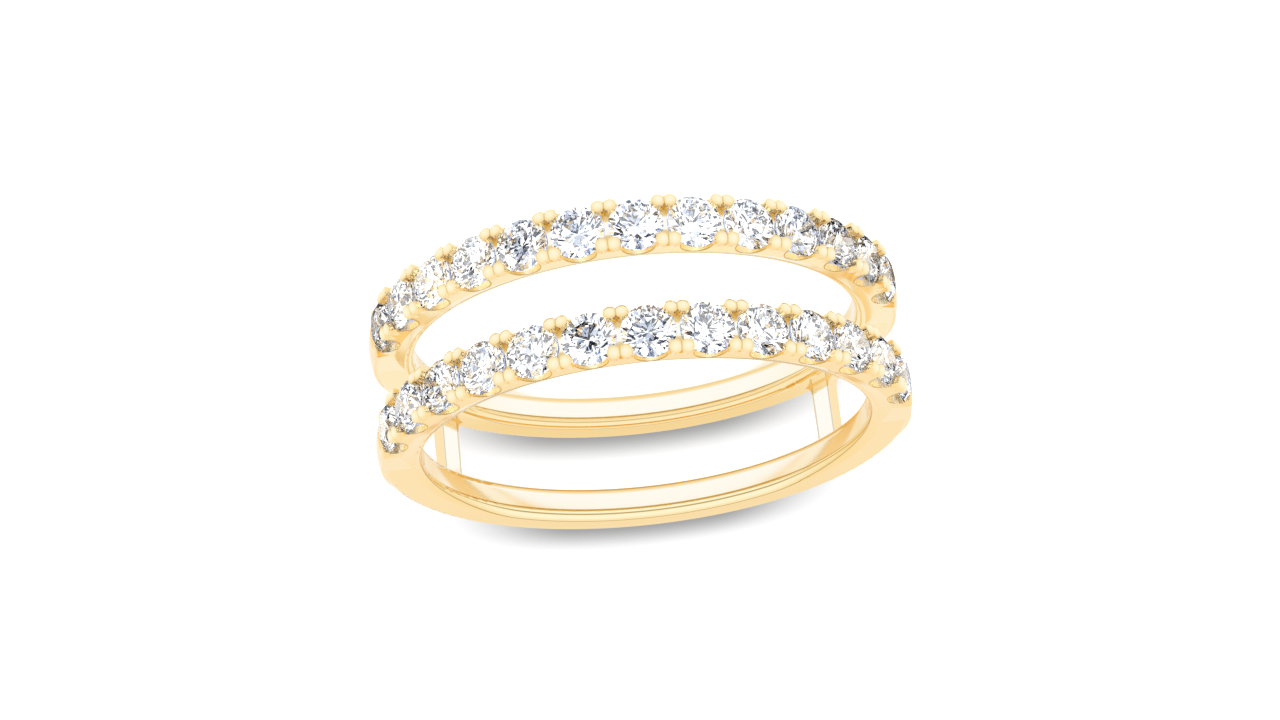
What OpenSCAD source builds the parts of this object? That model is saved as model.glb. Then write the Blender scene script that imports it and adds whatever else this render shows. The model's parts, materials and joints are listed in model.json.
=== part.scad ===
// Ring guard: two stone-set bands joined by two bridge bars, for another ring to sit between.
// It lies on its side: the finger axis is +Z, the stones of both bands face -Y, the floor is Z = 0.
// Positions round the ring are angles from the middle stone (-Y), positive towards +X.

/* [Finger] */
// Inside diameter of both bands
finger_d = 17.3; // [14:0.1:22]

/* [Bands] */
// Radial thickness of the shank, at the middle of its domed outer face
band_t = 1.73; // [1.6:0.01:2.2]
// Width of the shank along the finger
band_w = 1.4; // [1.2:0.05:1.7]
// Clear gap between the shanks, where the other ring sits
band_gap = 2.7; // [1.5:0.1:6]
// Rounding of the shank's inner edges, made wide for comfort on the finger
inner_round = 0.38; // [0.05:0.01:0.5]
// Rounding of the shank's outer edges
outer_round = 0.3; // [0.1:0.01:0.4]
// Radius of the dome across the shank's outer face
dome_r = 1; // [0.85:0.05:3]

/* [Stones] */
// Number of stones in each band
stone_count = 13; // [5:1:17]
// Girdle diameter of a stone
stone_d = 1.98; // [1.7:0.02:2]
// Girdle thickness of a stone
girdle_t = 0.06; // [0.03:0.01:0.1]
// Table diameter of a stone
table_d = 1.13; // [0.9:0.01:1.25]
// Angle of the crown facets
crown_angle = 34.5; // [30:0.5:37]
// Angle of the pavilion facets
pavilion_angle = 40.8; // [38:0.2:42]
// Clear gap between neighbouring girdles
stone_gap = 0.14; // [0.1:0.01:0.4]
// Depth of the girdles' middle below the top of the shank's dome
girdle_drop = 0.27; // [0.2:0.01:0.5]
// Clearance between a stone and the metal of its seat
seat_gap = 0.03; // [0.02:0.01:0.06]

/* [Setting] */
// Width over the prongs of one band
setting_w = 2; // [1.9:0.02:2.4]
// Width over the flared walls that carry the stones
wall_w = 1.8; // [1.6:0.02:1.9]
// Depth of the metal between the stones below the girdles' middle
bed_drop = 0.04; // [0.02:0.01:0.2]
// Radial height of the band's plain side below the flare
foot_h = 0.4; // [0.2:0.05:0.6]
// Radial height over which the walls flare out
flare_h = 0.5; // [0.2:0.05:0.8]
// Length over which the flare dies out past the last stones
flare_run = 5; // [2:0.1:6]
// Radius of the dome across the flared shoulders beside the last stones
shoulder_r = 2; // [1.2:0.1:4]
// Width of the scallop under each stone
scallop_w = 1.16; // [0.8:0.02:1.3]
// Depth of the scallop below the girdles' middle
scallop_depth = 0.58; // [0.4:0.02:0.8]
// Diameter of a prong
prong_d = 0.5; // [0.4:0.02:0.56]
// Radius of a prong's domed top
prong_dome = 0.4; // [0.28:0.02:0.6]
// Length of a prong from its foot in the wall to its top
prong_l = 0.8; // [0.6:0.05:1]
// Distance between the two prongs that share a post
prong_pair = 0.42; // [0.3:0.02:0.5]
// Height of the prongs' tops above the girdles' middle
prong_rise = 0.38; // [0.3:0.02:0.7]
// Height of the single prongs' tops beside the last stones
end_rise = 0.24; // [0.1:0.02:0.7]
// Outward lean of the prongs
prong_lean = 12; // [0:1:30]
// Clear length from the last stone to the foot of the slope up to the shank
end_gap = 0.12; // [0.05:0.01:0.5]
// Slope from the last stone's side up to the shank's outer face
end_slope = 15; // [0:5:60]

/* [Bridges] */
// Angle of each bridge bar from the bottom of the shank
bridge_angle = 53; // [20:1:75]
// Width of a bridge bar round the ring
bridge_w = 1.05; // [0.7:0.05:2]
// Radial thickness of a bridge bar
bridge_t = 0.45; // [0.3:0.05:0.9]
// Depth of the bars' outer faces below the top of the shank's dome
bridge_inset = 0.32; // [0.1:0.01:0.5]
// Fillet where a bar meets a band
bridge_fillet = 0.4; // [0.1:0.05:0.6]

/* [Hidden] */
// Depth by which a piece runs into its neighbour, so that they join
join = 0.3;
// Length by which a cutting tool passes a face
pass = 0.5;
// Corners of a stone's girdle: 16 outline points, two to each of its 8 main facets
mains = 8;
// Share of the way from table to girdle that the star facets reach
star_share = 0.5;
// Radius, as a share of the girdle's, at which the lower halves end near the culet
lower_share = 0.22;
// Turn of each stone about its own axis from the one before it
stone_turn = 17;

band_ri = finger_d / 2;
band_ro = band_ri + band_t;
girdle_r = band_ro - girdle_drop;
bed_r = girdle_r - bed_drop;
stone_r = stone_d / 2;
pitch = 2 * atan((stone_r + stone_gap / 2) / girdle_r);

crown_h = (stone_r - table_d / 2) * tan(crown_angle);
pavilion_h = stone_r * tan(pavilion_angle);

// Depth of a prong's rim below its top, and the middle of its top across the band
prong_r = prong_d / 2;
rim_drop = prong_dome - sqrt(prong_dome * prong_dome - prong_r * prong_r);
prong_z = setting_w / 2 - prong_r * cos(prong_lean) + rim_drop * sin(prong_lean);

// Planes of the two bands, with the lower band's prongs on the floor
band_step = band_w + band_gap;
plane_lower = max(setting_w, stone_d) / 2;
plane_upper = plane_lower + band_step;

// Shift that centres the ring front to back on the origin: the prongs or a table reach furthest forward
near_a = stone_count % 2 == 1 ? pitch / 2 : 0;
dome_mid = girdle_r + prong_rise - prong_dome * cos(prong_lean);
prong_reach = dome_mid * cos(near_a) + prong_pair / 2 * sin(near_a) + prong_dome;
table_reach = (girdle_r + girdle_t / 2 + crown_h) * cos(pitch / 2 - near_a);
axis_y = (max(prong_reach, table_reach) - band_ro) / 2;

// Angle of the last stones, and where the flare starts to die out
last_a = pitch * (stone_count - 1) / 2;
flare_y = -bed_r * cos(last_a + pitch / 2);

BANDS = ["lower", "upper"];
function plane_of(band) = band == "lower" ? plane_lower : plane_upper;
function stone_angle(i) = pitch * (i - (stone_count + 1) / 2);
function stone_name(band, i) = str("stone_", band, "_", i < 10 ? "0" : "", i);

$fn = 48;

// Puts a child, built with its own axis along +Z, at an angle round the band and at a radius, facing outwards
module out_at(angle, radius) rotate([0, 0, angle]) translate([0, -radius, 0]) rotate([90, 0, 0]) children();

// Cross-section of the shank, across the radius and along the finger: flat sides, a flat inner face and a
// domed outer one whose arc runs into the rounding of the edges
module shank_section() {
    module corner(x, y, r) translate([x, y]) circle(r);
    hw = band_w / 2;
    dome_x = band_ro - dome_r;
    reach = dome_r - outer_round;
    edge_x = dome_x + sqrt(reach * reach - (hw - outer_round) * (hw - outer_round));
    meet_y = (hw - outer_round) * dome_r / reach;
    translate([band_ri + inner_round, -hw]) square([edge_x - band_ri - inner_round, band_w]);
    translate([band_ri, -hw + inner_round]) square([2 * inner_round, band_w - 2 * inner_round]);
    for (s = [-1, 1]) {
        corner(band_ri + inner_round, s * (hw - inner_round), inner_round);
        corner(edge_x, s * (hw - outer_round), outer_round);
    }
    intersection() {
        corner(dome_x, 0, dome_r);
        translate([edge_x - outer_round, -meet_y]) square([dome_r, 2 * meet_y]);
    }
}

// Walls that carry the stones: they flare out towards the prongs and die out past the last stones
module setting_walls() {
    foot = band_ri + foot_h;
    intersection() {
        rotate_extrude($fn = 96) intersection() {
            polygon([
                [foot, -band_w / 2], [foot + flare_h, -wall_w / 2], [band_ro, -wall_w / 2],
                [band_ro, wall_w / 2], [foot + flare_h, wall_w / 2], [foot, band_w / 2]
            ]);
            translate([band_ro - shoulder_r, 0]) circle(shoulder_r);
        }
        rotate([90, 0, 90]) linear_extrude(height = 2 * band_ro + 2 * pass, center = true) polygon([
            [-band_ro - pass, -wall_w / 2 - pass], [flare_y, -wall_w / 2],
            [flare_y + flare_run, -band_w / 2 + join], [flare_y + flare_run, band_w / 2 - join],
            [flare_y, wall_w / 2], [-band_ro - pass, wall_w / 2 + pass]
        ]);
    }
}

// Room over the metal between the stones: the shank's dome is cut away there, with a slope at either end
module bed_cut() {
    far = 2 * band_ro;
    end_a = last_a + 2 * asin((stone_r + end_gap) / (2 * bed_r));
    function at_end(s, r, x) = [s * (r * sin(end_a) + x * cos(end_a)), -r * cos(end_a) + x * sin(end_a)];
    rise = band_t;
    linear_extrude(height = setting_w + 2 * pass, center = true) difference() {
        polygon([
            [0, 0], at_end(-1, bed_r, 0), at_end(-1, bed_r + rise, rise * tan(end_slope)), [-far, -far],
            [far, -far], at_end(1, bed_r + rise, rise * tan(end_slope)), at_end(1, bed_r, 0)
        ]);
        circle(bed_r, $fn = 96);
    }
}

// U-shaped cuts across the band, one under each stone
module scallops() {
    r = scallop_w / 2;
    mid = girdle_r - scallop_depth + r;
    linear_extrude(height = setting_w + 2 * pass, center = true)
        for (i = [1:stone_count]) rotate(stone_angle(i)) {
            translate([0, -mid]) circle(r);
            translate([-r, -band_ro - pass]) square([scallop_w, band_ro + pass - mid]);
        }
}

// One prong: a post with a domed top, whose highest point is the origin
module prong() {
    rotate_extrude() {
        translate([0, -prong_l]) square([prong_r, prong_l - rim_drop]);
        intersection() {
            translate([0, -prong_dome]) circle(prong_dome);
            translate([0, -prong_dome]) square([prong_r, prong_dome]);
        }
    }
}

// The prongs of one band: pairs between stones, and single ones outside the last stones
module prongs() {
    for (i = [0:stone_count]) for (s = [-1, 1]) rotate([0, 0, stone_angle(i + 0.5)]) {
        last = i == 0 || i == stone_count;
        at_r = girdle_r + (last ? end_rise : prong_rise);
        for (t = [-1, 1]) if (!last || t == (i == 0 ? 1 : -1))
            translate([t * prong_pair / 2, -at_r, s * prong_z]) rotate([90 - s * prong_lean, 0, 0]) prong();
    }
}

// Space that a stone takes up with its clearance, spun about the stone's axis
module seat() {
    up = girdle_t / 2;
    low_edge = up + seat_gap * (1 - sin(pavilion_angle)) / cos(pavilion_angle);
    high_edge = up + seat_gap * (1 - sin(crown_angle)) / cos(crown_angle);
    top = up + crown_h + seat_gap;
    top_r = stone_r + (seat_gap - (top - up) * cos(crown_angle)) / sin(crown_angle);
    rotate_extrude() polygon([
        [0, -up - pavilion_h - seat_gap / cos(pavilion_angle)],
        [stone_r + seat_gap, -low_edge], [stone_r + seat_gap, high_edge],
        [top_r, top], [0, top]
    ]);
}

// One band with its walls, scallops, prongs and seats, centred on its own plane
module band() {
    difference() {
        union() {
            difference() {
                union() {
                    rotate_extrude($fn = 96) shank_section();
                    setting_walls();
                }
                scallops();
                bed_cut();
            }
            prongs();
        }
        for (i = [1:stone_count]) out_at(stone_angle(i), girdle_r) seat();
    }
}

// Outline of a bridge bar, across and along the finger, with fillets at both bands
module bridge_outline() {
    reach = band_gap / 2 + join;
    square([bridge_w, 2 * reach], center = true);
    for (sx = [-1, 1]) for (sy = [-1, 1]) scale([sx, sy]) difference() {
        translate([bridge_w / 2 - join, band_gap / 2 - bridge_fillet])
            square([join + bridge_fillet, bridge_fillet + join]);
        translate([bridge_w / 2 + bridge_fillet, band_gap / 2 - bridge_fillet]) circle(bridge_fillet);
    }
}

module bridge() {
    linear_extrude(height = bridge_t) bridge_outline();
}

// The whole metal: both bands and the bars between them, soldered into one piece
module ring_frame() {
    color("goldenrod") translate([0, axis_y, 0]) {
        for (b = BANDS) translate([0, 0, plane_of(b)]) band();
        translate([0, 0, (plane_lower + plane_upper) / 2])
            for (s = [-1, 1]) out_at(180 + s * bridge_angle, band_ro - bridge_inset - bridge_t) bridge();
    }
}

// A ring of n points at a radius and a height, the first one turned by half_steps of half a step
function ring_points(n, r, z, half_steps = 0) =
    [for (k = [0:n - 1]) let (a = 360 / n * (k + half_steps / 2)) [r * cos(a), r * sin(a), z]];

// A round brilliant: table, stars, kites and upper halves above the girdle, lower halves and mains below it
module brilliant() {
    n = mains;
    half = 180 / n;
    up = girdle_t / 2;
    table_r = table_d / 2;
    edge_r = table_r * cos(half);
    star_r = edge_r + star_share * (stone_r - edge_r);
    star_z = up + crown_h - tan(crown_angle) * (star_r * cos(half) - table_r);
    lower_r = lower_share * stone_r;
    lower_z = -up - pavilion_h + tan(pavilion_angle) * lower_r * cos(half);
    points = concat(
        ring_points(n, table_r, up + crown_h),
        ring_points(n, star_r, star_z, 1),
        ring_points(2 * n, stone_r, up),
        ring_points(2 * n, stone_r, -up),
        ring_points(n, lower_r, lower_z, 1),
        [[0, 0, -up - pavilion_h]]
    );
    star = n;
    top = 2 * n;
    low = 4 * n;
    inner = 6 * n;
    culet = 7 * n;
    function next(k) = (k + 1) % n;
    faces = concat(
        [[for (k = [n - 1:-1:0]) k]],
        [for (k = [0:n - 1]) [k, next(k), star + k]],
        [for (k = [0:n - 1]) [k, star + k, top + 2 * k, star + (k + n - 1) % n]],
        [for (k = [0:n - 1]) [star + k, top + 2 * k + 1, top + 2 * k]],
        [for (k = [0:n - 1]) [star + k, top + 2 * next(k), top + 2 * k + 1]],
        [for (k = [0:2 * n - 1]) let (m = (k + 1) % (2 * n)) [top + k, top + m, low + m, low + k]],
        [for (k = [0:n - 1]) [inner + k, low + 2 * k, low + 2 * k + 1]],
        [for (k = [0:n - 1]) [inner + k, low + 2 * k + 1, low + 2 * next(k)]],
        [for (k = [0:n - 1]) [culet, inner + (k + n - 1) % n, low + 2 * k, inner + k]]
    );
    polyhedron(points = points, faces = faces);
}

// One stone of a band, in its seat
module stone(band, i) {
    color("aliceblue") translate([0, axis_y, plane_of(band)])
        out_at(stone_angle(i), girdle_r) rotate([0, 0, stone_turn * i]) brilliant();
}

ring_frame();
for (band = BANDS) for (i = [1:stone_count])
    stone(band, i);
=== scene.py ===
"""Looks of the ring guard: polished pale yellow gold with painted highlights, reflections, shade and glow,
brilliant-cut stones, and a white studio with painted soft shadows on its floor.
"""

import json
import math

import bpy
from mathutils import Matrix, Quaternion, Vector


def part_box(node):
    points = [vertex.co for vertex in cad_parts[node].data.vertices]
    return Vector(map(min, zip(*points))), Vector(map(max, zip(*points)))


bl_info = {
    "name": "Ring guard looks",
    "version": (1, 0, 0),
    "blender": (4, 5, 0),
    "location": "3D View > Sidebar > Ring guard",
    "description": "Finishes and studio for a stone-set ring guard",
    "category": "Object",
}

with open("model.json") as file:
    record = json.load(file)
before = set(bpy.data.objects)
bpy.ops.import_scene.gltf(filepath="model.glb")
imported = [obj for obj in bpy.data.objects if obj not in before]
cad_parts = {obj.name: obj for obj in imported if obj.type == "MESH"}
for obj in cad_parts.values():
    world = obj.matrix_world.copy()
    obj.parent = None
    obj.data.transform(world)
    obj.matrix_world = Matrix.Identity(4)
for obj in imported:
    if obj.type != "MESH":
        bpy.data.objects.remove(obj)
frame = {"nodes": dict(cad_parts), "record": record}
MM = 0.001

# Places and sizes that the frame gives
METAL_NODE = "ring_frame"
STONE_NODES = sorted(n for n in frame["nodes"] if n.startswith("stone_"))
BORE = next(m for m in frame["record"]["mounts"] if m["name"] == "finger_bore")
AXIS = Vector(BORE["pos_m"])
BORE_R = BORE["dims"]["r_mm"] * MM


def stone_centre(name):
    """Middle of a stone's box."""
    low, high = (Vector(corner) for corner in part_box(name))
    return (low + high) / 2


def stone_turn(name):
    """Angle of a stone round the finger from the front."""
    centre = stone_centre(name) - AXIS
    return math.atan2(centre.x, -centre.y)


ROW = [n for n in STONE_NODES if n.startswith("stone_upper_")]
PITCH = (stone_turn(ROW[-1]) - stone_turn(ROW[0])) / (len(ROW) - 1)
BAND_OFFSET = stone_centre(ROW[0]).z - AXIS.z

# Levels of the cards round the studio that only the stones show, from black flags to white lamps
CARDS = (
    (0.0, (0.0, 0.0, 0.01, 1.0)), (0.26, (0.01, 0.015, 0.03, 1.0)), (0.29, (0.32, 0.39, 0.54, 1.0)),
    (0.42, (0.76, 0.84, 1.0, 1.0)), (0.50, (1.30, 1.34, 1.40, 1.0)), (0.70, (1.6, 1.6, 1.6, 1.0)),
    (0.93, (1.7, 1.7, 1.7, 1.0)), (1.0, (3.0, 3.0, 3.0, 1.0)),
)

# Outputs of the Texture Coordinate and Light Path nodes
GENERATED, OBJECT = 0, 3
IS_CAMERA, IS_DIFFUSE, IS_SINGULAR = 0, 2, 4

BLACK, WHITE = (0.0, 0.0, 0.0), (1.0, 1.0, 1.0)


def mm(*values):
    """Lengths given in millimetres."""
    return tuple(value * MM for value in values)


# Degrees from the middle of the stone rows over which the painted shade and reflections on the shanks
# change
BACK = 110, 150
FACING = 95, 150
CLOSING, CLOSING_FADE, CLOSING_GAIN = (85, 100), 45, 1.6
ROW_ENDS, ROW_ENDS_FADE = (80, 101), 16

# Degrees round the rounding of a shank's inner edges, from the inner face to the side face
CORNER_FROM, CORNER_TO = -45, 180
ROUNDING, ROUNDING_FADE = (12, 74), 10
INSIDE_END = 74, 84
CORNER_LINE, CORNER_LINE_FADE = (80, 91), 4
SIDE_START = 88, 94

# Strengths of the painted highlight, reflection and shade layers on the shanks and the bars
ROUNDED_TINT, FACING_TINT, ROUNDING_SHADE, ENDS_SHADE, CORNER_LINE_DARK = 0.45, 0.5, 0.7, 0.6, 0.6
GOLD_REFLECTION_SHARE, SIDE_SHADE, SIDE_SHADE_UPPER, RIM_DARK = 0.45, 0.85, 0.45, 0.6
BAR_LINE_DARK, BAR_SIDE_TINT = 0.5, 0.8

# Limits of those layers beside the shank's flat inner face, its rim, and a bar's ends, edges and sides
ROUNDED_START = mm(0, 0.1)
RIM_LINE, RIM_LINE_FADE = mm(0, 0.04), 0.03 * MM
BAR_END = mm(-0.12, -0.01)
BAR_NEAR = -17, -11
BAR_LINE, BAR_LINE_FADE = mm(-0.09, -0.04), 0.03 * MM
BAR_SIDE = mm(-0.03, -0.01)

# Limits and strengths of the painted highlight and shade layers on the prongs, from the girdle's height and
# from a prong's middle
PRONG_TOP = mm(0.12, 0.36)
BEAD_SHINE, SHINE_SHARE = mm(0, 0.12), 0.6
BEAD_BUTTER, BUTTER_SHARE = mm(0.12, 0.26), 0.9
BEAD_RIM, RIM_SHARE = mm(0.21, 0.27), 0.45
GROOVE, GROOVE_OUT, GROOVE_DARK = mm(0.01, 0.04), mm(0.5, 0.55), 0.45

# Limits of the bed between the stones, over the girdle, and of the painted shade in its pits and the
# painted highlight on its ridge, from the band's middle
BED, BED_FADE = mm(-0.14, 0.04), 0.04 * MM
PIT, PIT_FADE = mm(0.32, 0.58), 0.1 * MM
RIDGE = mm(0.18, 0.28)

# Limits of the scallops and their mouths, from the scallop's and the wall's edges, and of the seats' cones
SCALLOP = mm(0.02, 0.05)
MOUTH = mm(-0.34, -0.24)
MOUTH_ENDS = mm(-0.42, -0.14)
# Strengths of the painted dark shade at the mouths' corners and outer edge
MOUTH_CORNER, MOUTH_CORNER_DARK = mm(-0.16, -0.04), 0.3
MOUTH_EDGE, MOUTH_EDGE_DARK = mm(-0.035, -0.015), 0.8
SEAT_OVER, SEAT_FADE, SEAT_TOP = 0.1 * MM, mm(0, 0.02), mm(0, 0.04)

# Height over the bore from which the colour is that of the outer face
OUTER = mm(1.42, 1.5)

# Polish: how far its lines run round the ring, scales of lines and cloud, and what they do to the finish
LINE_RUN, LINE_SCALE, CLOUD_SCALE = 0.0006, 9000.0, 260.0
CLOUD_DEEP, ROUGH_SPREAD, SCALLOP_ROUGH = 0.08, 0.04, 0.25
BUMP_STRENGTH, BUMP_DEPTH = 0.02, 0.01 * MM
VEIL_SCALE = 900.0

# Shares of a painted soft shadow's reach and radius where it starts, thins out sideways and fades in
SHADOW_START, SHADOW_SIDE, SHADOW_BEHIND = -0.1, (0.35, 1.1), (0.0, 0.3)
PENUMBRA_EDGE = 0.0, 0.05
FLOOR_GRAIN_SCALE, FLOOR_GRAIN, FLOOR_ROUGH = 40.0, 0.1, 0.6

# Bounces of light that the cut stones need, in and between them
GLOSSY_BOUNCES, STONE_BOUNCES, ALL_BOUNCES = 12, 16, 20


def rgba(colour):
    return (*colour, 1.0)


class Value:
    """A number socket in a node tree, so that shader maths reads as Python expressions."""

    def __init__(self, tree, socket):
        self.tree = tree
        self.socket = socket

    def math(self, operation, *others):
        return self.tree.number(operation, self, *others)

    def __add__(self, other):
        return self.math("ADD", other)

    def __sub__(self, other):
        return self.math("SUBTRACT", other)

    def __mul__(self, other):
        return self.math("MULTIPLY", other)

    def __truediv__(self, other):
        return self.math("DIVIDE", other)

    def __rsub__(self, other):
        return self.tree.number("SUBTRACT", other, self)

    def __rtruediv__(self, other):
        return self.tree.number("DIVIDE", other, self)

    __radd__ = __add__
    __rmul__ = __mul__


class Tree:
    """Adds nodes to a material's or the world's tree."""

    def __init__(self, owner):
        owner.use_nodes = True
        self.nodes = owner.node_tree.nodes
        self.links = owner.node_tree.links
        self.nodes.clear()

    def add(self, kind, settings=None, values=None):
        """A node of a type, with its settings first and then its sockets; gives its outputs as Values."""
        node = self.nodes.new(kind)
        for key, setting in (settings or {}).items():
            if key == "stops":
                self.set_stops(node.color_ramp, setting)
            else:
                setattr(node, key, setting)
        for key, value in (values or {}).items():
            socket = node.inputs[key]
            if isinstance(value, Value):
                self.links.new(value.socket, socket)
            else:
                socket.default_value = value
        return [Value(self, s) for s in node.outputs if s.enabled]

    def number(self, operation, *values):
        return self.add("ShaderNodeMath", {"operation": operation}, dict(enumerate(values)))[0]

    def set_stops(self, ramp, stops):
        while len(ramp.elements) < len(stops):
            ramp.elements.new(0.5)
        for element, (position, colour) in zip(ramp.elements, stops):
            element.position = position
            element.color = colour

    def mix(self, factor, first, second):
        """Mixes two colours, each the output of a node or red, green and blue."""
        first, second = (c if isinstance(c, Value) else rgba(c) for c in (first, second))
        return self.add("ShaderNodeMix", {"data_type": "RGBA"}, {0: factor, 6: first, 7: second})[0]

    def step(self, value, low, high):
        """Rises smoothly from 0 to 1 while a value goes from low to high."""
        limits = {0: value, 1: low, 2: high, 3: 0.0, 4: 1.0}
        return self.add("ShaderNodeMapRange", {"interpolation_type": "SMOOTHSTEP"}, limits)[0]

    def fall(self, value, low, high):
        """Falls smoothly from 1 to 0 while a value goes from low to high."""
        return 1.0 - self.step(value, low, high)

    def band(self, value, limits, fade):
        """Is 1 between two limits and falls to 0 within a width outside them."""
        low, high = limits
        return self.step(value, low - fade, low) * self.fall(value, high, high + fade)

    def finish(self, shader, kind="ShaderNodeOutputMaterial"):
        self.add(kind, None, {"Surface": shader})


def length(name, description, default):
    return bpy.props.FloatProperty(
        name=name, description=description, default=default, unit="LENGTH", precision=5
    )


def angle(name, description, degrees):
    return bpy.props.FloatProperty(
        name=name, description=description, default=math.radians(degrees), subtype="ANGLE"
    )


def number(name, description, default, low=0.0, high=1.0):
    return bpy.props.FloatProperty(name=name, description=description, default=default, min=low, max=high)


def colour(name, description, default):
    return bpy.props.FloatVectorProperty(
        name=name, description=description, default=default, size=3, min=0.0, max=1.0, subtype="COLOR"
    )


class GoldSettings(bpy.types.PropertyGroup):
    """Finish of the metal, with painted highlights, reflections, shade and glow."""

    tint: colour("Gold", "Colour of the polished gold", (0.985, 0.735, 0.36))
    # Painted shade on the shanks' sides and at the inner row ends; also the colour of the faint random
    # cloud
    shade_and_cloud: colour("Deep gold", "Colour of the shanks' sides and of the inner row ends", (0.90, 0.61, 0.19))
    # Painted sheen of reflected light on the inner faces
    sheen_cream: colour("Cream", "Colour of the pale polish on the inner faces", (1.0, 0.975, 0.89))
    # Painted shade at the ends of the scallops' mouths
    shade_amber: colour("Amber", "Colour of the gold at the ends of the scallops' mouths", (0.95, 0.64, 0.20))
    # Painted highlight on the rounded edges, the prongs and the scallops' mouths, and painted reflection of
    # gold on the lower band
    highlight_butter: colour("Butter", "Colour of the polish on the rounded edges and the prongs", (1.0, 0.93, 0.64))
    # Painted highlight on the bridge bars, the prongs' middles and the ridges between the stones
    shine: colour("Shine", "Colour of the brightest polish, on the bridge bars", (1.0, 0.985, 0.91))
    # Painted dark reflection lines along the edges, and painted dark shade in the prong grooves and at the
    # scallops' mouths
    line: colour("Edge line", "Colour of the thin lines along the edges", (0.50, 0.31, 0.08))
    # Painted shade on the lower rounding, the prongs' rims and the pits between the stones
    shade_contour: colour("Contour", "Colour of turned edges and of the pits between stones", (0.78, 0.60, 0.29))
    # Pale silver painted on the seats and scallops in place of gold, as painted light for the stones to
    # show
    silver: colour("Seat", "Colour of the bright-cut seats under the stones", (0.76, 0.84, 0.98))
    # Painted glow of the seats and scallops, which are no lamp, that lights the stones
    seat: colour("Seat light", "Light that the bright seats give the stones", (0.10, 0.135, 0.23))
    # Painted glow on the scallops' mouths
    ledge_glow: colour("Ledge light", "Light that the stones throw on the scallops' mouths", (0.46, 0.31, 0.105))
    roughness: number("Roughness", "Roughness of the polished metal", 0.10)
    band_width: length("Band width", "Width of a shank along the finger", 1.4 * MM)
    inner_round: length("Inner rounding", "Rounding of the shank's inner edges", 0.38 * MM)
    rim_r: length("Rim radius", "Radius of the outer edge of the shank's side faces", 10.03 * MM)
    bar_half: length("Bar length", "Half the clear length of the bridge bars", 1.35 * MM)
    bar_width: length("Bar width", "Width of a bridge bar round the ring", 1.05 * MM)
    bar_turn: angle("Bar place", "Angle of each bridge bar from the middle of the stone rows", 127)
    prong_pair: length("Prong pair", "Distance between the two prongs that share a post", 0.42 * MM)
    prong_aside: length("Prong place", "Distance of the prongs from the middle plane of a band", 0.78 * MM)
    girdle_r: length("Girdle radius", "Radius of the stones' girdles round the finger", 10.11 * MM)
    stone_r: length("Stone radius", "Radius of a stone's girdle", 0.99 * MM)
    pavilion: angle("Pavilion angle", "Angle of the seats under the stones", 40.8)
    scallop_r: length("Scallop radius", "Radius of the scallop under each stone", 0.58 * MM)
    scallop_depth: length("Scallop depth", "Depth of the scallops below the girdles", 0.58 * MM)
    wall_half: length("Wall", "Half the width over the walls that carry the stones", 0.9 * MM)


class StoneSettings(bpy.types.PropertyGroup):
    """Finish of the stones."""

    tint: colour("Stone", "Colour of the stones", (0.965, 0.982, 1.0))
    index: number("Index of refraction", "How strongly the stones bend light", 2.417, 1.0, 3.0)


class StageSettings(bpy.types.PropertyGroup):
    """Floor, light and camera."""

    floor: colour("Floor", "Colour of the floor", (0.95, 0.95, 0.95))
    floor_size: length("Floor size", "Width of the floor", 1.2)
    world: number("Surroundings", "Brightness of the white surroundings", 1.0, 0.0, 5.0)
    fill: number("Fill", "Brightness of the surroundings as the floor sees them", 0.75, 0.0, 5.0)
    floor_glow: number("Floor glow", "Even light that the floor adds to its own colour", 0.9, 0.0, 5.0)
    floor_shine: number("Floor shine", "Brightness of the floor as the gold and the stones see it", 1.0)
    cards: number("Cards", "How finely the cards round the stones are divided", 3.4, 0.5, 20.0)
    floor_cards: number("Floor cards", "How finely the floor's cards are divided", 150.0, 1.0, 500.0)
    # The soft shadows are painted into the floor's colour; no lamp of the scene throws them
    penumbra: number("Half shadow", "Depth at which the soft shadows start to show", 0.33)
    shadow: number("Shadow", "Further depth of the soft shadows behind the shanks", 0.48)
    # Point low in front of the ring from which the painted shadows are projected; there is no lamp there
    painted_shadow_origin: bpy.props.FloatVectorProperty(
        name="Lamp", description="Place of the low lamp in front of the ring that throws the soft shadows",
        default=(0.00455, -0.09089, 0.03762), size=3, subtype="TRANSLATION", precision=5
    )
    shadow_r: length("Shadow radius", "Radius of the shank's edge that throws the shadow", 10.06 * MM)
    shadow_rise: length("Shadow rise", "Height of that edge over the band's middle", 0.68 * MM)
    shadow_reach: length("Shadow reach", "Length over which the shadow fades out", 4.2 * MM)
    azimuth: angle("Azimuth", "Direction of the camera round the ring", 2.9293)
    elevation: angle("Elevation", "Height of the camera over the floor", 21.2534)
    roll: angle("Roll", "Turn of the camera about its own line of sight", -173.346)
    distance: length("Distance", "Distance from the camera to the aim", 0.0973886)
    aim: bpy.props.FloatVectorProperty(
        name="Aim", description="Point that the camera looks at",
        default=(-0.0000931, -0.0002460, 0.0023208), size=3, subtype="TRANSLATION", precision=6
    )
    lens: number("Lens", "Focal length in millimetres", 70.3125, 10.0, 300.0)


def give(obj, material):
    """Puts one material on an object."""
    obj.data.materials.clear()
    obj.data.materials.append(material)


def corner_ramp(tree, share, marks):
    """Colours by the angle round the rounding of the shank's inner edge."""
    span = CORNER_TO - CORNER_FROM
    stops = [((degrees - CORNER_FROM) / span, rgba(colour)) for degrees, colour in marks]
    return tree.add("ShaderNodeValToRGB", {"stops": stops}, {0: share})[0]


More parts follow.
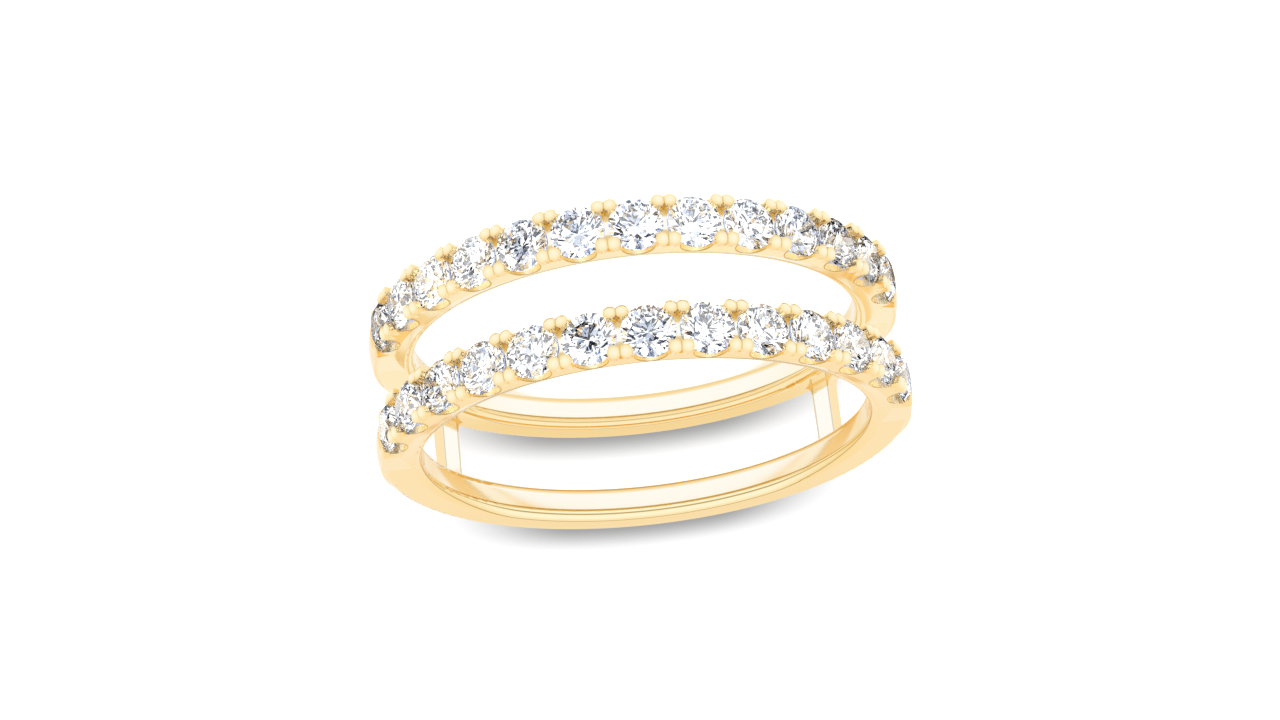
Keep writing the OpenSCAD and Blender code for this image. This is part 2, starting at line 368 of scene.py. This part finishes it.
class MetalPlace:
    """Where a point of the metal lies round the finger, across its band, and under a stone."""

    def __init__(self, tree, settings):
        self.point = tree.add("ShaderNodeTexCoord")[OBJECT]
        x, y, self.z = tree.add("ShaderNodeSeparateXYZ", None, {0: self.point})
        across = y - AXIS.y
        self.radius = tree.number("SQRT", x * x + across * across)
        self.turn = tree.number("ARCTAN2", x, 0.0 - across)
        # Degrees from the middle of the stone rows, to either side
        self.turned = self.turn.math("ABSOLUTE").math("DEGREES")
        self.back = tree.step(self.turned, *BACK)
        rise = self.z - AXIS.z
        self.between = rise.math("ABSOLUTE")
        self.upper = tree.number("GREATER_THAN", rise, 0.0)
        # Height over the middle plane of the point's own band
        height = rise + BAND_OFFSET - self.upper * (2 * BAND_OFFSET)
        self.top_side = tree.number("GREATER_THAN", height, 0.0)
        self.aside = height.math("ABSOLUTE")
        # The nearest stone: along the row from it, and below its girdle
        step = (self.turn / PITCH).math("ROUND")
        self.off = self.turn - step * PITCH
        self.along = self.radius * self.off.math("SINE")
        self.depth = settings.girdle_r - self.radius * self.off.math("COSINE")
        ends = len(ROW) / 2
        self.in_row = tree.fall(step.math("ABSOLUTE"), ends - 0.3, ends + 0.3)


def shank_colour(tree, place, settings):
    """Painted light on the shanks: pale painted sheen on the inner faces, painted highlights and dark
    reflection lines along the rounded inner edges, and painted shade on the sides.
    """
    flat = settings.band_width / 2 - settings.inner_round
    inward = BORE_R + settings.inner_round - place.radius
    corner = tree.number("ARCTAN2", place.aside - flat, inward).math("DEGREES")
    # At the ends of the stone rows the painted reflection lines of the rounding close up towards the inner
    # face
    closing = tree.band(place.turned, CLOSING, CLOSING_FADE)
    drawn = corner * (closing * CLOSING_GAIN + 1.0)
    share = (drawn - CORNER_FROM) / (CORNER_TO - CORNER_FROM)
    tint, sheen_cream, highlight_butter = settings.tint, settings.sheen_cream, settings.highlight_butter
    shade_and_cloud, line, shade_contour = settings.shade_and_cloud, settings.line, settings.shade_contour
    # Painted reflection bands round the upper rounding: sheen, dark reflection lines and highlights
    upward = corner_ramp(tree, share, (
        (-45, sheen_cream), (-9, sheen_cream), (-5, tint), (-3, line), (3, line), (6, tint), (10, highlight_butter), (21, highlight_butter),
        (25, line), (29, line), (33, highlight_butter), (52, highlight_butter), (80, tint), (84, line), (89, line), (93, tint)
    ))
    # Painted reflection bands round the lower rounding, with a band of painted shade
    downward = corner_ramp(tree, share, (
        (-45, sheen_cream), (6, sheen_cream), (20, tint), (34, shade_contour), (62, shade_contour), (76, tint), (180, tint)
    ))
    shank = tree.mix(place.top_side, downward, upward)
    # The lower band's rounding and the faces near the stone rows are mixed back towards plain gold, so they
    # keep less of the painted reflections
    rounded = tree.step(place.aside - flat, *ROUNDED_START) * (1.0 - place.upper)
    shank = tree.mix(rounded * ROUNDED_TINT, shank, tint)
    facing = tree.fall(place.turned, *FACING)
    shank = tree.mix(facing * FACING_TINT, shank, tint)
    # Beside the stone rows the rounding and the inner face get painted shade, behind a painted dark
    # reflection line
    rounding = tree.band(drawn, ROUNDING, ROUNDING_FADE) * place.top_side
    shank = tree.mix(rounding * facing * ROUNDING_SHADE, shank, shade_and_cloud)
    ends = tree.band(place.turned, ROW_ENDS, ROW_ENDS_FADE) * tree.fall(drawn, *INSIDE_END)
    shank = tree.mix(ends * ENDS_SHADE, shank, shade_and_cloud)
    edge = tree.band(drawn, CORNER_LINE, CORNER_LINE_FADE) * place.top_side
    shank = tree.mix(edge * facing * CORNER_LINE_DARK, shank, line)
    # The lower band's side under the upper band gets a pale painted reflection of the upper band's gold
    gold_reflection = (1.0 - place.upper) * place.top_side * (1.0 - place.back)
    shank = tree.mix(gold_reflection * GOLD_REFLECTION_SHARE, shank, highlight_butter)
    # Painted shade on the side faces at the back, lighter on the upper band
    side = tree.step(corner, *SIDE_START) * place.back
    side_share = SIDE_SHADE + place.upper * (SIDE_SHADE_UPPER - SIDE_SHADE)
    shank = tree.mix(side * side_share, shank, shade_and_cloud)
    # A painted dark line of shade along the outer edge of the side faces at the back
    rim = tree.band(place.radius - settings.rim_r, RIM_LINE, RIM_LINE_FADE) * place.back
    return tree.mix(rim * place.top_side * RIM_DARK, shank, line)


def bar_colour(tree, place, settings, base):
    """Bridge bars with a painted bright highlight, a thin painted dark reflection line along their edges,
    and golden sides.
    """
    past = place.turned - math.degrees(settings.bar_turn)
    clear = tree.fall(place.between - settings.bar_half, *BAR_END)
    bar = clear * tree.step(past, *BAR_NEAR)
    out = (past.math("RADIANS") * place.radius).math("ABSOLUTE") - settings.bar_width / 2
    base = tree.mix(bar, base, settings.shine)
    edge = tree.band(out, BAR_LINE, BAR_LINE_FADE)
    base = tree.mix(bar * edge * BAR_LINE_DARK, base, settings.line)
    return tree.mix(bar * tree.step(out, *BAR_SIDE) * BAR_SIDE_TINT, base, settings.tint)


def prong_colour(tree, place, settings, base):
    """Prongs with a painted pale highlight and a shining painted middle, a painted darker rim of shade, and
    painted shade in the groove between each pair.
    """
    top = tree.step(place.radius - settings.girdle_r, *PRONG_TOP) * place.in_row
    middle = (PITCH / 2 - place.off.math("ABSOLUTE")) * place.radius
    beside, outside = middle - settings.prong_pair / 2, place.aside - settings.prong_aside
    bead = tree.number("SQRT", beside * beside + outside * outside)
    base = tree.mix(top * tree.fall(bead, *BEAD_BUTTER) * BUTTER_SHARE, base, settings.highlight_butter)
    base = tree.mix(top * tree.fall(bead, *BEAD_SHINE) * SHINE_SHARE, base, settings.shine)
    base = tree.mix(top * tree.step(bead, *BEAD_RIM) * RIM_SHARE, base, settings.shade_contour)
    groove = tree.fall(middle.math("ABSOLUTE"), *GROOVE) * tree.step(place.aside, *GROOVE_OUT)
    return tree.mix(groove * top * GROOVE_DARK, base, settings.line)


def bed_colour(tree, place, settings, base):
    """Painted shade in the pits and a painted highlight on the ridge of the bed between the stones."""
    bed = tree.band(place.radius - settings.girdle_r, BED, BED_FADE) * place.in_row
    base = tree.mix(tree.band(place.aside, PIT, PIT_FADE) * bed, base, settings.shade_contour)
    return tree.mix(tree.fall(place.aside, *RIDGE) * bed, base, settings.shine)


class SeatPlace:
    """Where the metal under a stone is cut: scallop, mouth in the wall, and cone of the seat."""

    def __init__(self, tree, place, settings):
        centre_depth = settings.scallop_depth - settings.scallop_r
        below = tree.number("MINIMUM", centre_depth - place.depth, 0.0)
        reach = tree.number("SQRT", place.along * place.along + below * below)
        self.scallop = tree.fall(reach - settings.scallop_r, *SCALLOP) * place.in_row
        in_wall = place.aside - settings.wall_half
        self.mouth = self.scallop * tree.step(in_wall, *MOUTH)
        from_end = place.along.math("ABSOLUTE") - settings.scallop_r
        self.ends = tree.step(from_end, *MOUTH_ENDS)
        # Painted dark shade at the corners of each mouth and along its outer edge
        corner = tree.step(from_end, *MOUTH_CORNER) * MOUTH_CORNER_DARK
        edge = tree.step(in_wall, *MOUTH_EDGE) * MOUTH_EDGE_DARK
        self.dark = self.mouth * tree.number("MAXIMUM", corner, edge)
        out = tree.number("SQRT", place.along * place.along + place.aside * place.aside)
        cone = (settings.stone_r + SEAT_OVER) - place.depth / math.tan(settings.pavilion)
        in_cone = tree.step(cone - out, *SEAT_FADE) * tree.step(place.depth, *SEAT_TOP)
        self.seat = in_cone * place.in_row


def seat_colour(tree, seat, settings, base):
    """Painted light under the stones: pale silver seats and scallops in place of gold, and scallop mouths
    with a painted highlight that turns to painted amber shade at their ends, with painted dark shade at
    their corners and edge.
    """
    base = tree.mix(seat.scallop, base, settings.silver)
    base = tree.mix(seat.mouth, base, tree.mix(seat.ends, settings.highlight_butter, settings.shade_amber))
    base = tree.mix(seat.dark, base, settings.line)
    return tree.mix(seat.seat, base, settings.silver)


def seat_light(tree, seat, settings):
    """Painted glow: the seats and scallops glow to light the stones, and the scallops' mouths glow as if
    lit by the stones, except under their painted dark shade.
    """
    light = tree.mix(tree.number("MAXIMUM", seat.seat, seat.scallop), BLACK, settings.seat)
    light = tree.mix(seat.mouth, light, settings.ledge_glow)
    return tree.mix(seat.dark, light, BLACK)


def gold_material(settings):
    material = bpy.data.materials.new("polished_gold")
    tree = Tree(material)
    place = MetalPlace(tree, settings)
    outer = tree.step(place.radius - BORE_R, *OUTER)
    base = tree.mix(outer, shank_colour(tree, place, settings), settings.tint)
    # Painted highlights, reflection lines and shade on the bars, prongs and the bed between the stones
    for layer in (bar_colour, prong_colour, bed_colour):
        base = layer(tree, place, settings, base)
    # Painted silver light under the stones, and painted highlight and shade at the scallops' mouths
    seat = SeatPlace(tree, place, settings)
    base = seat_colour(tree, seat, settings, base)

    # Polishing lines round the ring, and a faint cloudiness
    run = place.turn * LINE_RUN
    wrapped = tree.add("ShaderNodeCombineXYZ", None, {0: run, 1: place.radius, 2: place.z})[0]
    lines = tree.add("ShaderNodeTexNoise", None, {"Vector": wrapped, "Scale": LINE_SCALE, "Detail": 3.0})[0]
    around = {"Vector": place.point, "Scale": CLOUD_SCALE, "Detail": 2.0}
    cloud = tree.add("ShaderNodeTexNoise", None, around)[0]
    base = tree.mix(cloud * CLOUD_DEEP, base, settings.shade_and_cloud)
    rough = (lines + cloud) * ROUGH_SPREAD + (settings.roughness - ROUGH_SPREAD)
    rough = rough + seat.scallop * SCALLOP_ROUGH
    relief = {"Height": lines + cloud, "Strength": BUMP_STRENGTH, "Distance": BUMP_DEPTH}
    bump = tree.add("ShaderNodeBump", None, relief)[0]
    # The seats and the scallops' mouths glow with painted light, though they are no lamp
    shader = tree.add(
        "ShaderNodeBsdfPrincipled", None,
        {"Base Color": base, "Metallic": 1.0, "Roughness": rough, "Normal": bump,
         "Emission Color": seat_light(tree, seat, settings), "Emission Strength": 1.0},
    )[0]
    tree.finish(shader)
    return material


def stone_material(settings):
    material = bpy.data.materials.new("clear_stone")
    tree = Tree(material)
    place = tree.add("ShaderNodeTexCoord")[OBJECT]
    veil = tree.add("ShaderNodeTexNoise", None, {"Vector": place, "Scale": VEIL_SCALE, "Detail": 1.0})[0]
    shader = tree.add(
        "ShaderNodeBsdfPrincipled", None,
        {"Base Color": tree.mix(veil, settings.tint, WHITE), "Roughness": 0.0, "IOR": settings.index,
         "Transmission Weight": 1.0},
    )[0]
    tree.finish(shader)
    return material


def camera_place(settings):
    """Where the camera stands, and the direction from its aim back to it."""
    az, el = settings.azimuth, settings.elevation
    back = Vector((math.sin(az) * math.cos(el), -math.cos(az) * math.cos(el), math.sin(el)))
    return Vector(settings.aim) + back * settings.distance, back


def cards(tree, place, scale):
    """Cards of black, grey and white, as a stone shows them in its facets."""
    cell = tree.add("ShaderNodeTexVoronoi", None, {"Vector": place, "Scale": scale})[1]
    level = tree.add("ShaderNodeSeparateColor", None, {0: cell})[0]
    return tree.add("ShaderNodeValToRGB", {"stops": CARDS}, {0: level})[0]


def soft_shadow(tree, settings, x, y, band):
    """A soft shadow painted on the floor behind one band's shank, projected from a point low in front of
    the ring; no lamp throws it.
    """
    painted_shadow_origin = Vector(settings.painted_shadow_origin)
    edge = Vector((AXIS.x, AXIS.y, AXIS.z + band * BAND_OFFSET + settings.shadow_rise))
    grow = painted_shadow_origin.z / (painted_shadow_origin.z - edge.z)
    middle = painted_shadow_origin + (edge - painted_shadow_origin) * grow
    dx, dy = x - middle.x, y - middle.y
    past = tree.number("SQRT", dx * dx + dy * dy) - settings.shadow_r * grow
    reach = settings.shadow_reach * grow
    start = SHADOW_START * reach
    shade = tree.band(past, (start, start), reach)
    sideways = tree.fall(dx.math("ABSOLUTE"), *(share * settings.shadow_r for share in SHADOW_SIDE))
    return shade * sideways * tree.step(dy, *(share * settings.shadow_r for share in SHADOW_BEHIND))


def floor_material(settings):
    """White floor with two painted soft shadows behind the shanks; the gold and the stones see it evenly
    lit.
    """
    material = bpy.data.materials.new("white_floor")
    tree = Tree(material)
    place = tree.add("ShaderNodeTexCoord")[OBJECT]
    x, y, _ = tree.add("ShaderNodeSeparateXYZ", None, {0: place})
    shade = tree.number("MAXIMUM", *(soft_shadow(tree, settings, x, y, band) for band in (-1, 1)))
    depth = shade * settings.shadow + tree.step(shade, *PENUMBRA_EDGE) * settings.penumbra
    base = tree.mix(depth, settings.floor, BLACK)
    grain = tree.add("ShaderNodeTexNoise", None, {"Vector": place, "Scale": FLOOR_GRAIN_SCALE})[0]
    matt = tree.add(
        "ShaderNodeBsdfPrincipled", None,
        {"Base Color": base, "Roughness": grain * FLOOR_GRAIN + FLOOR_ROUGH, "Emission Color": base,
         "Emission Strength": settings.floor_glow},
    )[0]
    path = tree.add("ShaderNodeLightPath")
    even = tree.mix(path[IS_SINGULAR], WHITE, cards(tree, place, settings.floor_cards))
    glow = tree.add("ShaderNodeEmission", None, {"Color": even, "Strength": settings.floor_shine})[0]
    mirrored = 1.0 - path[IS_CAMERA] - path[IS_DIFFUSE]
    tree.finish(tree.add("ShaderNodeMixShader", None, {0: mirrored, 1: matt, 2: glow})[0])
    material.cycles.emission_sampling = "NONE"
    return material


class RING_OT_stage(bpy.types.Operator):
    """Makes the camera, the floor and the soft white surroundings that light the ring"""

    bl_idname = "ring.stage"
    bl_label = "Studio"

    def execute(self, context):
        settings = context.scene.ring_stage
        self.make_camera(context, settings)
        self.make_floor(context, settings)
        self.make_world(context, settings)
        context.scene.cycles.glossy_bounces = GLOSSY_BOUNCES
        context.scene.cycles.transmission_bounces = STONE_BOUNCES
        context.scene.cycles.max_bounces = ALL_BOUNCES
        context.scene.view_settings.view_transform = "Standard"
        return {"FINISHED"}

    def make_camera(self, context, settings):
        data = bpy.data.cameras.new("camera")
        data.lens = settings.lens
        data.sensor_width = 36.0
        data.clip_start, data.clip_end = 0.001, 5.0
        camera = bpy.data.objects.new("camera", data)
        context.scene.collection.objects.link(camera)
        camera.location, back = camera_place(settings)
        camera.rotation_mode = "QUATERNION"
        roll = Quaternion(-back, settings.roll)
        camera.rotation_quaternion = roll @ (-back).to_track_quat("-Z", "Y")
        context.scene.camera = camera

    def make_floor(self, context, settings):
        half = settings.floor_size / 2
        mesh = bpy.data.meshes.new("floor")
        corners = [(-half, -half, 0.0), (half, -half, 0.0), (half, half, 0.0), (-half, half, 0.0)]
        mesh.from_pydata(corners, [], [(0, 1, 2, 3)])
        floor = bpy.data.objects.new("floor", mesh)
        context.scene.collection.objects.link(floor)
        give(floor, floor_material(settings))

    def make_world(self, context, settings):
        world = bpy.data.worlds.new("studio")
        context.scene.world = world
        tree = Tree(world)
        path = tree.add("ShaderNodeLightPath")
        around = tree.add("ShaderNodeTexCoord")[GENERATED]
        seen = tree.mix(path[IS_SINGULAR], WHITE, cards(tree, around, settings.cards))
        light = tree.mix(path[IS_DIFFUSE], seen, [settings.fill] * 3)
        shader = tree.add("ShaderNodeBackground", None, {"Color": light, "Strength": settings.world})[0]
        tree.finish(shader, "ShaderNodeOutputWorld")
        world.cycles.sampling_method = "NONE"


class RING_OT_gold(bpy.types.Operator):
    """Gives the metal its polished pale yellow gold"""

    bl_idname = "ring.gold"
    bl_label = "Gold"

    def execute(self, context):
        give(frame["nodes"][METAL_NODE], gold_material(context.scene.ring_gold))
        return {"FINISHED"}


class RING_OT_stones(bpy.types.Operator):
    """Gives every stone its clear, strongly refracting finish"""

    bl_idname = "ring.stones"
    bl_label = "Stones"

    def execute(self, context):
        material = stone_material(context.scene.ring_stones)
        for name in STONE_NODES:
            give(frame["nodes"][name], material)
        return {"FINISHED"}


class RING_PT_panel(bpy.types.Panel):
    """Lists the steps that dress the ring guard"""

    bl_label = "Ring guard"
    bl_space_type = "VIEW_3D"
    bl_region_type = "UI"
    bl_category = "Ring guard"

    def draw(self, context):
        for settings, operator in STEPS:
            box = self.layout.box()
            for key in getattr(context.scene, settings).__annotations__:
                box.prop(getattr(context.scene, settings), key)
            box.operator(operator.bl_idname)


STEPS = (("ring_stage", RING_OT_stage), ("ring_gold", RING_OT_gold), ("ring_stones", RING_OT_stones))
GROUPS = {"ring_stage": StageSettings, "ring_gold": GoldSettings, "ring_stones": StoneSettings}
CLASSES = (*GROUPS.values(), *(operator for _, operator in STEPS), RING_PT_panel)


def register():
    for cls in CLASSES:
        bpy.utils.register_class(cls)
    for key, group in GROUPS.items():
        setattr(bpy.types.Scene, key, bpy.props.PointerProperty(type=group))


def unregister():
    for key in GROUPS:
        delattr(bpy.types.Scene, key)
    for cls in reversed(CLASSES):
        bpy.utils.unregister_class(cls)


def main():
    register()
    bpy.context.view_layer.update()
    for step in ("stage", "gold", "stones"):
        getattr(bpy.ops.ring, step)()


if __name__ == "__main__":
    main()
